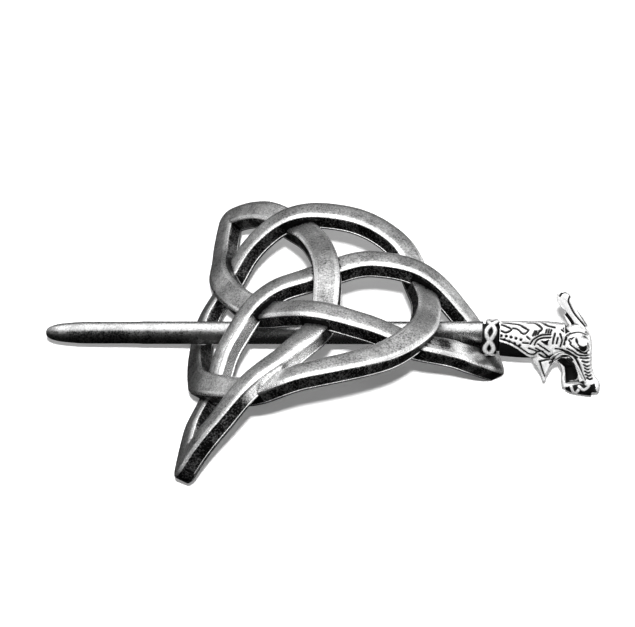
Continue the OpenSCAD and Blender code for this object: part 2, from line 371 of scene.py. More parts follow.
def crossings(k, p):
    """Where arc k passes under and over: the ring going in, one arc, the other arc, the ring coming out."""
    end = len(p) // ARC_PARTS
    inner = p[end:-end]
    beyond = np.linalg.norm(p, axis=1) - RING_RADIUS
    sides = {side: turned(inner, -LOBE_ANGLE * k - side * LOBE_ANGLE / 2)[:, 1] for side in (-1, 1)}
    under = [first_sign_change(p, beyond, False), first_sign_change(inner, sides[-1], False)]
    over = [first_sign_change(inner, sides[1], False), first_sign_change(p, beyond, True)]
    return np.array(under), np.array(over)


def fade(p, places):
    """1 at the places, fading to 0 over the reach of a crossing."""
    near = [np.clip(np.linalg.norm(p - c, axis=-1) / WEAVE_REACH, 0, 1) for c in places]
    return sum(np.cos(np.pi / 2 * d) ** 2 for d in near)


def weave(p, over, under):
    """How far points of a strand are lifted from the plate."""
    return OVER_RISE * fade(p, over) - UNDER_DIP * fade(p, under)


def posed(v):
    """A direction in the level plate, pitched, leaned and turned as the plate lies."""
    for axis, angle in (("Y", PLATE_PITCH), ("X", PLATE_LEAN), ("Z", PLATE_TURN)):
        v = v @ np.array(Matrix.Rotation(np.radians(angle), 3, axis)).T
    return v


def bend_angle(p):
    return (turned(p, BEND_SKEW)[..., 0] - BEND_SHIFT) / BEND_RADIUS


def bent(p, h):
    """The place in space of a flat point at a height above the plate."""
    a, r = bend_angle(p), BEND_RADIUS + h
    along = turned(p, BEND_SKEW)[..., 1]
    return CROWN + posed(np.stack([r * np.sin(a), along, r * np.cos(a) - BEND_RADIUS], -1))


def bent_frame(p, heading):
    """The plate's normal and the direction square to the heading, in space."""
    a = bend_angle(p)
    normal = posed(np.stack([np.sin(a), 0 * a, np.cos(a)], -1))
    e = turned(turned(heading, -90), BEND_SKEW)
    return normal, posed(np.stack([e[..., 0] * np.cos(a), e[..., 1], -e[..., 0] * np.sin(a)], -1))


# Half of a strand's cross-section: place across it from its side, height, and rounding there
PROFILE = [
    {"in": 2.4, "up": -0.01, "round": 0.0},
    {"in": 1.7, "up": -0.03, "round": 0.0},
    {"in": 1.15, "up": -0.09, "round": 0.0},
    {"in": 0.65, "up": -0.24, "round": 0.1},
    {"in": 0.2, "up": -0.5, "round": 0.1},
    {"in": 0.03, "up": -0.95, "round": 0.1},
    {"in": 0.18, "up": -3.2, "round": 0.05},
    {"in": 0.03, "up": -3.31, "round": 0.05},
    {"in": 0.03, "up": -3.55, "round": 0.1},
    {"in": 0.5, "up": -3.98, "round": 0.15},
]
ROUNDING_STEPS = (0, 0.5, 1)
STRAND_STEP = 0.5


def strand_outline():
    """The cross-section as a closed outline with its corners rounded."""
    half = [(STRAND_WIDTH / 2 - row["in"], row["up"], row["round"]) for row in PROFILE]
    rows = np.array(half + [(-x, y, r) for x, y, r in reversed(half)])
    out = []
    for before, here, after in zip(np.roll(rows, 1, axis=0), rows, np.roll(rows, -1, axis=0)):
        corner, radius = here[:2], here[2]
        a, b = corner + radius * unit(before[:2] - corner), corner + radius * unit(after[:2] - corner)
        steps = ROUNDING_STEPS if radius else ROUNDING_STEPS[:1]
        out += [(1 - t) ** 2 * a + 2 * t * (1 - t) * corner + t * t * b for t in steps]
    return np.array(out)


OUTLINE = strand_outline()


def strand_sections(p, heading, h):
    """The outline, set square to the heading at each flat point and height."""
    normal, side = bent_frame(p, heading)
    middle = bent(p, h)[:, None]
    return middle + OUTLINE[None, :, :1] * side[:, None] + OUTLINE[None, :, 1:] * normal[:, None]


def plate_facing(places, normals):
    """How far normals face out of the plate: 1 for its top, 0 for the side of a strand, -1 for its back."""
    flat = places - CROWN
    for axis, angle in (("Z", PLATE_TURN), ("X", PLATE_LEAN), ("Y", PLATE_PITCH)):
        flat = flat @ np.array(Matrix.Rotation(np.radians(-angle), 3, axis)).T
    out = posed(unit(np.stack([flat[:, 0], 0 * flat[:, 0], flat[:, 2] + BEND_RADIUS], -1)))
    return np.sum(out * normals, axis=1)


def pin_bar(name, radius, start, end, drop=0):
    """A bar along the pin between two places from the collar's face, dropped as the collar is."""
    piece = lathe(name, [(start, radius), (end, radius)], ROUND_SIDES)
    piece.data.transform(Matrix.Translation(Vector((0, -drop, 0)) * MM))
    on_head(piece)
    return piece


def pin_matrix():
    """From the pin's own frame, with its start at the collar's face, to the object's."""
    seat = CROWN * [1, 1, 0] + [0, PIN_OFFSET, PIN_HEIGHT] + PIN_SEAT * PIN_WAY
    rise = np.degrees(np.arctan2(PIN_WAY[2], PIN_WAY[0]))
    return Matrix.Translation(Vector(seat) * MM) @ Matrix.Rotation(np.radians(-rise), 4, "Y")


def on_pin(piece):
    piece.data.transform(pin_matrix())


def on_head(piece):
    piece.data.transform(pin_matrix() @ Matrix.Rotation(np.radians(90 - HEAD_ROLL), 4, "X"))


# Patina and painted shade on the knot by how its faces lie: back, back rim, side walls, bevel, top. The side
# walls and the back are painted dark for shade
KNOT_FACING = [-1, -0.95, -0.85, -0.4, -0.3, 0.45, 0.6, 0.95, 0.985, 1]
KNOT_PATINA_AND_SHADE = [0.75, 0.75, 0.4, 0.4, 0.95, 0.95, 0.1, 0.25, 0.62, 0.62]
# Walls where the painted shade is taken off, so that they show bright reflections of the light from the
# right: a place in the middle of each
LIT_WALL_PLACES = [
    (-15.0, -8.3, 15.8),
    (-16.3, -10.5, 14.9),
    (-17.5, -13.2, 14.0),
    (-18.9, -17.1, 12.7),
    (0.6, -19.0, 22.6),
    (-1.0, -22.2, 22.2),
    (-3.5, -25.5, 21.4),
    (-5.9, -28.5, 20.4),
    (-8.2, -30.8, 20.9),
    (-9.7, -32.9, 19.3),
    (31.0, -9.0, 14.0),
    (33.9, -9.2, 12.0),
]
LIT_WALL_RADIUS = 2.6
# They count on faces towards the head or upwards: share of the normal along X or Z
LIT_WALL_FACING = [0.1, 0.4]
LIT_WALL_STRENGTH = 1.2
# Painted shade on top faces that slope away from the light or lie in the shadow of the strands
SHADE_PLACES = [
    (37.8, -4.0, 6.9),
    (39.0, -4.6, 5.0),
    (27.5, -10.0, 16.0),
]
SHADE_RADIUS = 2.6
SHADE_STRENGTH = 0.5
PATCH_STEEPNESS = 3
# Blackening where strands meet, patina together with painted contact shade, and the least angle of a hollow
# corner that holds it
CREVICE_PATINA_AND_SHADE = 0.35
CREVICE_ANGLE = 25
KNOT_SHARP_ANGLE = 32
CORNER_FAN = 9
# What is cut away: the ground below the plate, and from the collar's face the groove and the collar's room
GROUND_REACH = 99
GROUND_DEPTH = 9
GROOVE_START = -120
GROOVE_END = 20
ROOM_RADIUS = WRAP_HIGH + WRAP_RADIUS + PIN_CLEARANCE
ROOM_START = -PIN_CLEARANCE - COLLAR_SLANT
ROOM_END = 3 * COLLAR_LENGTH


def near_places(p, places, radius):
    """1 at the places, fading to 0 beyond a radius."""
    far = [np.linalg.norm(p - place, axis=1) / radius for place in places]
    return np.exp(-np.min(far, axis=0) ** PATCH_STEEPNESS)


def crevices(piece):
    """1 for the faces that meet another in a hollow corner, 0 for the others."""
    work = bmesh.new()
    work.from_mesh(piece.data)
    marks = np.zeros(len(work.faces))
    for edge in work.edges:
        if len(edge.link_faces) == 2 and edge.calc_face_angle_signed() < -np.radians(CREVICE_ANGLE):
            for face in edge.link_faces:
                marks[face.index] = 1
    work.free()
    return marks


def make_knot(material):
    lines = [arc_line(k) for k in range(len(ARCS))]
    marks = [crossings(k, p) for k, p in enumerate(lines)]
    lines = [even(p, STRAND_STEP) for p in lines]
    parts = []
    for k, p in enumerate(lines):
        under, over = marks[k]
        parts.append(sweep(f"arc_{k}", strand_sections(p, headings(p), weave(p, over, under))))
        ends = headings(p)[-1], headings(lines[(k + 1) % len(ARCS)])[0]
        turn = np.degrees(np.arctan2(np.cross(*ends), np.dot(*ends)))
        fan = np.array([turned(ends[0], turn * t) for t in np.linspace(0, 1, CORNER_FAN)])
        corner = np.repeat(p[-1:], len(fan), axis=0)
        parts.append(hull(f"corner_{k}", strand_sections(corner, fan, np.zeros(len(fan))).reshape(-1, 3)))
    angles = np.linspace(0, 360, int(2 * np.pi * RING_RADIUS / STRAND_STEP), endpoint=False)
    p = polar(RING_RADIUS, angles)
    ring_over = [under[0] for under, over in marks]
    ring_under = [over[1] for under, over in marks]
    ring = strand_sections(p, polar(1.0, angles + 90), weave(p, ring_over, ring_under))
    knot = sweep("knot_cast", ring, True)
    combine(knot, parts, "UNION")
    across = (-GROUND_REACH, GROUND_REACH)
    ground = hull("ground", [(x, y, z) for x in across for y in across for z in (-GROUND_DEPTH, 0)])
    room = pin_bar("collar_room", ROOM_RADIUS, ROOM_START, ROOM_END, COLLAR_DROP)
    groove = pin_bar("groove", PIN_RADIUS + PIN_CLEARANCE, GROOVE_START, GROOVE_END)
    combine(knot, [groove, room, ground], "DIFFERENCE")
    normals, middles = face_normals(knot), face_middles(knot)
    # Patina and painted shade by how each face lies: the side walls painted near black as shade
    patina_and_shade = np.interp(plate_facing(middles, normals), KNOT_FACING, KNOT_PATINA_AND_SHADE)
    facing = np.maximum(normals[:, 0], normals[:, 2])
    # The painted shade is lifted off walls at these places, where they catch the light
    lit_wall = near_places(middles, LIT_WALL_PLACES, LIT_WALL_RADIUS) * np.interp(facing, LIT_WALL_FACING, [0, 1])
    patina_and_shade = np.maximum(patina_and_shade - LIT_WALL_STRENGTH * lit_wall, 0)
    # Painted shade and shadow on these top faces
    patina_and_shade += SHADE_STRENGTH * near_places(middles, SHADE_PLACES, SHADE_RADIUS)
    # Patina and painted contact shade in the corners where strands meet
    patina_and_shade += CREVICE_PATINA_AND_SHADE * crevices(knot) * (1 - lit_wall)
    paint_faces(knot, patina_and_shade)
    shade(knot, KNOT_SHARP_ANGLE)
    dress(knot, "plate", "knot", material)


# The pin

# Tip of the pin: distance from its point and radius there
TIP_ROWS = [
    {"at": 0.01, "radius": 0.05},
    {"at": 0.07, "radius": 0.4},
    {"at": 0.25, "radius": 0.78},
    {"at": 0.8, "radius": 1.25},
    {"at": 1.8, "radius": 1.65},
    {"at": 3.6, "radius": 2.02},
    {"at": 6.2, "radius": 2.26},
    {"at": 9.5, "radius": 2.4},
    {"at": 19.5, "radius": 2.4},
    {"at": 22.0, "radius": 2.5},
]
PIN_LENGTH = 97.3
TIP_STEPS = 6
TIP_JOIN = 1
SHAFT_STEPS = 80
PIN_SIDES = 96
# Painted shade low on the sides of its far half, by share of the normal along Z and by place along X
PIN_SHADE = 0.7
PIN_SHADE_FACING = [0.68, 0.86]
PIN_SHADE_PLACES = [-62, -54, -30, -18]
# Blackening round its point
POINT_PATINA = 0.25
POINT_PATINA_PLACES = [-60, -42]


def make_pin(material):
    rows = smooth([(row["at"] - PIN_LENGTH, row["radius"]) for row in TIP_ROWS], TIP_STEPS)
    body = [(x, PIN_RADIUS) for x in np.linspace(rows[-1][0] + TIP_JOIN, -SEAT_GAP, SHAFT_STEPS)]
    pin = lathe("pin_polished", np.concatenate([rows, body]), PIN_SIDES)
    on_pin(pin)
    shade(pin, SHARP_ANGLE)
    along = face_middles(pin)[:, 0]
    # Painted shade on the lower sides of the far half
    patina_and_shade = PIN_SHADE * np.interp(face_normals(pin)[:, 2], PIN_SHADE_FACING, [1, 0])
    patina_and_shade *= np.interp(along, PIN_SHADE_PLACES, [0, 1, 1, 0])
    patina_and_shade += POINT_PATINA * np.interp(along, POINT_PATINA_PLACES, [1, 0])
    paint_faces(pin, patina_and_shade)
    dress(pin, "pin", "pin_shaft", material)


# The collar

# Two wires wave along the pin on their way round it, against each other
WRAP_SWING = 0.95
WRAP_WAVES = 3
WRAP_DEEP = 3.2
WRAP_START = 11
WRAP_STEPS = 160
WRAP_SIDES = 16
# Blackening between them, by height above the core
COLLAR_PATINA = [1.3, 0]
COLLAR_PATINA_HEIGHTS = [0.4, 0.95]


def make_collar(material):
    a = np.radians(np.linspace(0, 360, WRAP_STEPS, endpoint=False))
    wave = WRAP_SWING * np.cos(WRAP_WAVES * (a - np.radians(WRAP_START)))
    core = lathe("collar_cast", [(0, COLLAR_CORE), (COLLAR_LENGTH, COLLAR_CORE)], ROUND_SIDES)
    wraps = []
    for side in (-1, 1):
        line = np.stack([
            COLLAR_LENGTH / 2 + side * wave + COLLAR_SLANT * np.cos(a),
            WRAP_HIGH * np.cos(a),
            WRAP_DEEP * np.sin(a),
        ], axis=-1)
        out = np.stack([0 * a, np.cos(a), np.sin(a)], axis=-1)
        wraps.append(tube("wrap", line, WRAP_RADIUS, WRAP_SIDES, True, out))
    combine(core, wraps, "UNION")
    core.data.transform(Matrix.Translation(Vector((0, -COLLAR_DROP, 0)) * MM))
    high = np.linalg.norm((vertex_places(core) + [0, COLLAR_DROP, 0])[:, 1:], axis=1) - COLLAR_CORE
    paint_vertices(core, np.interp(high, COLLAR_PATINA_HEIGHTS, COLLAR_PATINA))
    on_head(core)
    shade(core, SHARP_ANGLE)
    dress(core, "pin", "pin_collar", material)


# The dragon head: stations of its forms, seen from the side
# Place along the neck, height above the pin's axis, half height across the form, half depth
FORMS = {
    "neck": [
        (3.7, -1.15, 3.85, 3.2),
        (6.8, -1.3, 4, 3.4),
        (10, -1.4, 4.05, 3.5),
        (14, -1.4, 4, 3.6),
        (18, -1.3, 3.5, 3.6),
    ],
    "skull": [
        (20.6, 1.7, 1.4, 1.6),
        (20.4, 0.7, 2.8, 2.9),
        (20.1, -0.9, 3.5, 3.7),
        (19.9, -2.8, 3.8, 3.9),
        (20, -4.6, 3.6, 3.7),
        (21.2, -6.1, 2.5, 3.3),
        (22.1, -8, 1.7, 2.9),
        (22.7, -9.8, 1.7, 2.7),
        (23.3, -11.4, 2.1, 2.8),
        (23.3, -12.9, 1.7, 2.3),
    ],
    "nose": [
        (23.6, -12.1, 1.6, 2.6),
        (21.2, -11.9, 1.5, 2.5),
        (19.3, -11.7, 1.3, 2.3),
        (18, -11.4, 0.9, 1.9),
    ],
    "jaw": [
        (16.2, -4.8, 1, 2.4),
        (17, -6.4, 0.7, 2.3),
        (17.6, -8.2, 0.6, 2.1),
        (17.5, -10, 0.6, 2),
        (17.8, -11.7, 0.7, 1.8),
    ],
    "mouth": [
        (18.6, -4.8, 1.6, 1.2),
        (18.9, -7, 1.6, 0.9),
        (19.3, -9, 1.8, 0.8),
        (19.8, -11.5, 1.8, 0.9),
    ],
    "bridge": [
        (22.5, -1.5, 1, 2),
        (22.6, -4, 1, 2.4),
        (22.6, -6.5, 1, 2.5),
        (22.7, -9, 1, 2.4),
        (23.2, -11, 1.2, 2.4),
    ],
    "horn": [
        (21.5, 0.8, 1.7, 1.4),
        (20.7, 2.5, 1.45, 1.2),
        (19.4, 4.5, 1.35, 1.1),
        (18.1, 6.7, 1.65, 1.1),
        (17.4, 7.9, 1.6, 1.1),
        (17.2, 8.9, 1, 0.8),
    ],
    "ear": [
        (19.6, 1.2, 0.6, 0.9),
        (18.5, 2.7, 0.5, 0.8),
        (17.6, 4.1, 0.15, 0.3),
    ],
    "beard": [
        (13.4, -4.2, 3.4, 1.8),
        (13.2, -6.2, 2.5, 1.6),
        (13.2, -7.6, 1.5, 1.3),
        (13.2, -9, 0.75, 1),
        (13.2, -10.5, 0.3, 0.5),
    ],
}
EYE = (21.7, -2.6, 2.9)
EYE_RADIUS = 1.7
# Degrees left open round each end of its axis
BALL_CAP = 4
BALL_STEPS = 40
BALL_SIDES = 48
# Bars laid on both sides of the head
RAISED_RADIUS = 0.4
RAISED_STEPS = 8
RAISED_SIDES = 12
RAISED_LINES = {
    "brow": [
        (17.8, -0.9, 3.5), (19.1, -0.1, 3.2), (20.9, 0.1, 3),
        (22.5, -0.5, 2.6), (23.1, -2, 2), (22.9, -3.8, 2.2),
    ],
    "upper_lip": [
        (14.6, -5.9, 1.4), (15.7, -5, 2.6), (17.2, -4.4, 3.2), (18.7, -4.8, 3.4),
        (20.2, -6.2, 3.1), (21.5, -8.5, 2.7), (22.4, -10.5, 2.6),
    ],
    "under_lip": [
        (15.2, -6.3, 1.5), (16.2, -5.7, 2.3), (17.4, -5.2, 2.8), (18.6, -5.6, 3),
        (19.7, -6.9, 2.9), (20.8, -8.9, 2.4), (21.4, -10.5, 2.4),
    ],
}
# Relief on both sides of the head, seen from its side: lines cut into it
CUT_LINES = {
    "flames": [
        [(3.9, 2), (5.2, 1.5), (6.3, 0.8), (5.2, 0.1), (4.1, 0.5)],
        [(4.5, 2.4), (6.5, 2.2), (8.3, 1.8), (10, 0.7)],
        [(8.3, 1.8), (9.2, 1.1), (10, 0.7), (9.2, -0.2), (8.4, 0.1)],
        [(9.9, 2.4), (11.4, 2.3), (12.9, 1.1), (12.5, 0.4)],
        [(12.9, 2.5), (14.2, 1.7), (15.7, 1.3)],
        [(6.6, 1.1), (7.6, 0.9), (8.6, 0)],
    ],
    "strokes": [
        [(11, -0.6), (11.4, 0.4)],
        [(11.5, -0.5), (11.8, 0.4)],
        [(12, -0.3), (12.4, 0.5)],
        [(13.8, 0.1), (14, 0.8)],
        [(14.3, 0.1), (14.5, 0.8)],
        [(14.8, 0.1), (15, 0.7)],
    ],
    "rim": [
        [
            (3.2, -1.1), (5.8, -1.9), (7.6, -2.9), (9.2, -4.1),
            (10.1, -4.7), (11.1, -4.8), (12, -4.2), (13.1, -4.1),
        ],
        [(8.8, -2.2), (10, -2.3)],
        [(10.3, -1.4), (9.7, -0.8)],
    ],
    "arch": [
        [(10.4, -2.5), (11, -1.6), (11.9, -0.9), (13.1, -0.4), (14.8, -0.3)],
        [(11.3, -2.7), (11.9, -1.6), (13.1, -1.1), (14.8, -1)],
    ],
    "weave": [
        [(12.1, -2.5), (14.5, -4.2)],
        [(10, -3.4), (11.6, -4)],
        [(11.6, -3.4), (13.1, -4.3), (14.2, -5.2), (15.2, -5)],
        [(13, -1.9), (14.1, -2.6)],
        [(12.3, -4.8), (13.6, -5.4), (15.1, -5.2)],
    ],
    "mane": [
        [(15.8, -0.1), (15.5, -1.2), (15.3, -2.4)],
        [(16.4, -1.1), (16.1, -2.4)],
        [(16.9, -0.2), (17.3, -1.6), (16.9, -3.1)],
        [(17.2, 0.8), (18.3, -0.2), (18, -1.6), (17.7, -2.6)],
        [(18.7, -1.6), (19.2, -2.2)],
        [(17.7, 1.1), (19, -0.1)],
    ],
    "eyelids": [
        [(18.6, -0.6), (19.4, -0.1), (21, 0.2), (22.4, -0.3)],
        [(19, -2.5), (20.2, -3.4), (21.3, -4.2), (22.7, -4.4)],
        [(23.1, -2.2), (23.2, -3.2), (22.6, -4.2)],
        [(22.7, 0.5), (23.1, 0.1), (22.9, -0.3), (22.5, 0), (22.7, 0.5)],
        [(20.4, -1.3), (20.6, -2.4), (21.3, -3.1)],
    ],
    "cheek": [
        [(15.9, -3.5), (17, -3.7), (18.5, -4.1), (19.6, -4.8), (20.6, -5.4)],
        [(18.3, -3.4), (19.6, -4), (21, -4.8), (23.5, -4.8)],
    ],
    "lip": [
        [
            (14.6, -6.6), (15.7, -5.3), (17.1, -4.3), (18.6, -4.4),
            (20, -5.2), (21, -6.9), (21.8, -8.9), (22.4, -10.1),
        ],
        [(15.6, -6), (17.1, -5.2), (18.7, -5.1), (19.5, -5.9)],
    ],
    "wrinkles": [
        [(21.3, -5.4), (23.7, -5.5)],
        [(21.7, -6.1), (22.3, -6.3), (23.5, -6.3)],
        [(22, -6.9), (22.7, -7.2), (23.5, -7.1)],
        [(22.2, -7.6), (22.9, -7.9), (23.6, -7.7)],
        [(22.2, -8.3), (22.9, -8.6), (23.7, -8.4)],
        [(22.4, -9), (23.1, -9.3), (23.8, -9)],
        [(22.7, -9.7), (23.3, -10), (23.9, -9.7)],
    ],
    "beard": [[(12.3, -6.2), (15.1, -6), (13.6, -9.5), (12.3, -6.2)]],
    "horn": [
        [(19.2, 8.3), (18.6, 7), (19.1, 5.7), (20.1, 3.9), (22.5, 1.3)],
        [(16.6, 8), (17.2, 8.7), (18.2, 8.9), (19.2, 8.3)],
        [(20, 7.2), (20.9, 4.7), (22.8, 1.7)],
        [(17.6, 4.7), (18.9, 3.1), (19.5, 2.1)],
    ],
}
CUT_WIDTH = 0.24
CUT_DEPTH = 0.35
# They fade where the surface turns from the side: share of the normal along z
CUT_FACING = [0.1, 0.6]
LINE_STEPS = 6
LINE_REACH = 3
# Rows of drilled pits
PIT_ROWS = [
    [(4.1, -0.6), (5.8, -0.8), (8.4, -1.5)],
    [(4.8, -1.5), (6.6, -2.2), (8.1, -2.8)],
]
PIT_SPACING = 0.8
PIT_RADIUS = 0.37
PIT_STEPS = 8
PIT_STEEPNESS = 4
# Areas painted black: painted shade under the neck and the snout, in the mouth, the nostril, the arch and
# round the eye, together with patina there
SHADED_AREAS = {
    "under_neck": [
        (2.5, -1.5), (3.2, -1.7), (5.8, -2.5), (7.6, -3.5), (9.2, -4.7),
        (10.1, -5.3), (10.6, -5.5), (10.6, -8), (2.5, -8),
    ],
    "arch": [(13, -1.9), (14.6, -1.4), (14.2, -2.4)],
    "eye_corner": [(18.7, -1.2), (20.2, -0.7), (19.4, -1.6)],
    "eye_low": [(20.8, -3.1), (21.5, -2.8), (22, -2.9), (22.8, -2.6), (22.7, -3.7), (22, -4.2), (21.3, -3.9)],
    "mouth": [
        (16.2, -6), (17.1, -5.4), (18.8, -5.4), (20, -6.7), (20.8, -9.1),
        (20.3, -10.1), (18.1, -10.7), (18, -9.3), (17.8, -7.3), (16.8, -6.6),
    ],
    "nostril": [(23.3, -11.3), (24.3, -10.9), (24.6, -11.9), (23.7, -12.4)],
    "palate": [
        (17.6, -11.9), (19.1, -11.4), (21, -11), (23.4, -11.6),
        (24.6, -12.2), (25.2, -14.5), (17.6, -14.5),
    ],
}
# Bright teeth and tongue across the areas of painted shade
BRIGHT_LINES = [
    [(17.9, -11.3), (18.9, -10.7), (21.5, -10.4)],
    [(19.2, -11.3), (19.6, -12.8), (20.2, -13), (20.8, -12.3)],
    [(20.9, -11.5), (21.9, -12.3), (22.9, -11.7)],
]
BRIGHT_WIDTH = 0.35
# Joins between the forms, smoothed
HEAD_VOXEL = 0.13
SMOOTH_SHARE = 0.5
SMOOTH_ROUNDS = 2
HEAD_INSET = 0.03
# Blackening of the head, patina in hollows and cuts and painted shade in the shaded areas, full in hollows of
# this depth
HEAD_PATINA_AND_SHADE = 1.4
HOLLOW_DEPTH = 0.16
HOLLOW_ROUNDS = 24
FORM_STEPS = 10
FORM_SIDES = 40


def form(name):
    """One form of the head, through its stations."""
    p = smooth(FORMS[name], FORM_STEPS)
    ahead = headings(p[:, :2])
    a = np.linspace(0, 2 * np.pi, FORM_SIDES, endpoint=False)
    high, deep = p[:, 2:3] * np.cos(a), p[:, 3:4] * np.sin(a)
    sections = np.stack([p[:, :1] - ahead[:, 1:] * high, p[:, 1:2] + ahead[:, :1] * high, deep], axis=-1)
    return sweep(name, sections)


def ball(name, middle, radius):
    a = np.radians(np.linspace(BALL_CAP, 180 - BALL_CAP, BALL_STEPS))
    piece = lathe(name, [(radius * np.cos(b), radius * np.sin(b)) for b in a], BALL_SIDES)
    piece.data.transform(Matrix.Translation(Vector(middle) * MM))
    return piece


def distance_to_line(p, line):
    """Distance of flat points to a line of points."""
    best = np.full(len(p), np.inf)
    for a, b in zip(line[:-1], line[1:]):
        along = np.clip(((p - a) @ (b - a)) / np.dot(b - a, b - a), 0, 1)
        best = np.minimum(best, np.linalg.norm(p - a - along[:, None] * (b - a), axis=1))
    return best


def inside_area(p, corners):
    """Which flat points lie inside a closed outline."""
    inside = np.zeros(len(p), bool)
    for a, b in zip(corners, np.roll(corners, 1, axis=0)):
        between = (a[1] > p[:, 1]) != (b[1] > p[:, 1])
        cross = a[0] + (p[:, 1] - a[1]) * (b[0] - a[0]) / (b[1] - a[1] if b[1] != a[1] else 1)
        inside ^= between & (p[:, 0] < cross)
    return inside


def near_lines(p, lines, width):
    """1 on the lines, fading to 0 over a width beside them."""
    share = np.zeros(len(p))
    reach = LINE_REACH * width
    for line in lines:
        line = smooth(line, LINE_STEPS) if len(line) > 2 else np.array(line, float)
        box = np.all((p > line.min(axis=0) - reach) & (p < line.max(axis=0) + reach), axis=1)
        share[box] = np.maximum(share[box], np.exp(-(distance_to_line(p[box], line) / width) ** 2))
    return share


def relief(places):
    """Shares of the cut, of blackening by painted shade and patina in the shaded areas, and of brightening at
    each place of the head, seen from its side.
    """
    flat = places[:, :2]
    cut = near_lines(flat, [line for lines in CUT_LINES.values() for line in lines], CUT_WIDTH)
    for row in PIT_ROWS:
        for pit in even(smooth(row, PIT_STEPS), PIT_SPACING):
            far = np.linalg.norm(flat - pit, axis=1) / PIT_RADIUS
            cut = np.maximum(cut, np.exp(-far ** PIT_STEEPNESS))
    dark = np.zeros(len(flat))
    # Painted shade in the shaded areas
    for corners in SHADED_AREAS.values():
        dark[inside_area(flat, np.array(corners, float))] = 1
    return cut, dark, near_lines(flat, BRIGHT_LINES, BRIGHT_WIDTH)


def edges_of(mesh):
    edges = np.empty(len(mesh.edges) * 2, int)
    mesh.edges.foreach_get("vertices", edges)
    return edges.reshape(-1, 2)


def averaged(values, edges, rounds):
    """Values at the vertices, spread over their neighbours."""
    count = np.bincount(edges.ravel(), minlength=len(values))[:, None]
    for _ in range(rounds):
        total = np.zeros_like(values)
        for i in range(values.shape[1]):
            total[:, i] = np.bincount(edges[:, 0], values[edges[:, 1], i], len(values))
            total[:, i] += np.bincount(edges[:, 1], values[edges[:, 0], i], len(values))
        values = total / count
    return values


def hollows(piece):
    """How deep each vertex lies below its surroundings: 0 not at all, 1 fully."""
    places = vertex_places(piece)
    around = averaged(places, edges_of(piece.data), HOLLOW_ROUNDS)
    deep = np.sum((around - places) * vertex_normals(piece), axis=1)
    return np.clip(deep / HOLLOW_DEPTH, 0, 1)


def make_head(material):
    parts = [form(name) for name in FORMS if name != "neck"]
    for side in (-1, 1):
        parts.append(ball("eye", (EYE[0], EYE[1], side * EYE[2]), EYE_RADIUS))
        for name, points in RAISED_LINES.items():
            points = smooth(points, RAISED_STEPS) * [1, 1, side]
            parts.append(tube(name, points, RAISED_RADIUS, RAISED_SIDES))
    head = form("neck")
    head.name = "head_cast"
    combine(head, parts, "UNION")
    remesh = head.modifiers.new("remesh", "REMESH")
    remesh.mode = "VOXEL"
    remesh.voxel_size = HEAD_VOXEL * MM
    bake_modifiers(head)
    places, normals = vertex_places(head), vertex_normals(head)
    places = places + SMOOTH_SHARE * (averaged(places, edges_of(head.data), SMOOTH_ROUNDS) - places)
    cuts, dark, bright = relief(places)
    cuts *= np.interp(np.abs(normals[:, 2]), CUT_FACING, [0, 1]) * (1 - bright)
    places = places - normals * (HEAD_INSET + CUT_DEPTH * cuts)[:, None]
    head.data.vertices.foreach_set("co", (places * MM).ravel())
    head.data.update()
    # Patina in hollows and cuts, painted shade in the shaded areas
    patina_and_shade = HEAD_PATINA_AND_SHADE * np.maximum(hollows(head), np.maximum(cuts, dark * (1 - bright)))
    paint_vertices(head, patina_and_shade)
    on_head(head)
    head.data.shade_smooth()
    dress(head, "pin", "dragon_head", material)


# Materials

WHITE = (1, 1, 1, 1)
# Noises in the blackening of patina and painted shade: repeats per metre, detail, and the part of each one's
# range that shows
GRAIN_SCALE = 2400
GRAIN_DETAIL = 6
GRAIN_RANGE = (0.3, 0.7)
BLOTCH_SCALE = 230
BLOTCH_DETAIL = 3
BLOTCH_RANGE = (0.35, 0.65)
PORE_SCALE = 3200
PORE_DETAIL = 1
PORE_RANGE = (0.28, 0.4)
NOISE_ROUGHNESS = 0.65
# What full blackening, of patina and of painted shade, adds to the roughness
PATINA_AND_SHADE_ROUGHNESS = 0.25
BUMP_DEPTH = 0.08
# Looks of the plate, of the pin, and of the collar and the head
KNOT_LOOKS = {
    "light": (1, 1, 1), "dark": (0.01, 0.01, 0.01), "metallic": 0.97, "roughness": 0.22,
    "grain": 0.28, "blotches": 0.12, "pores": 0.25, "bump": 0.8,
}
PIN_LOOKS = {
    "light": (0.6, 0.6, 0.6), "dark": (0.02, 0.02, 0.02), "metallic": 1.0, "roughness": 0.27,
    "grain": 0.3, "blotches": 0.2, "pores": 0.4, "bump": 1.0,
}
HEAD_LOOKS = {
    "light": (0.97, 0.97, 0.97), "dark": (0.005, 0.005, 0.005), "metallic": 0.62, "roughness": 0.24,
    "grain": 0.2, "blotches": 0.1, "pores": 0.2, "bump": 0.8,
}


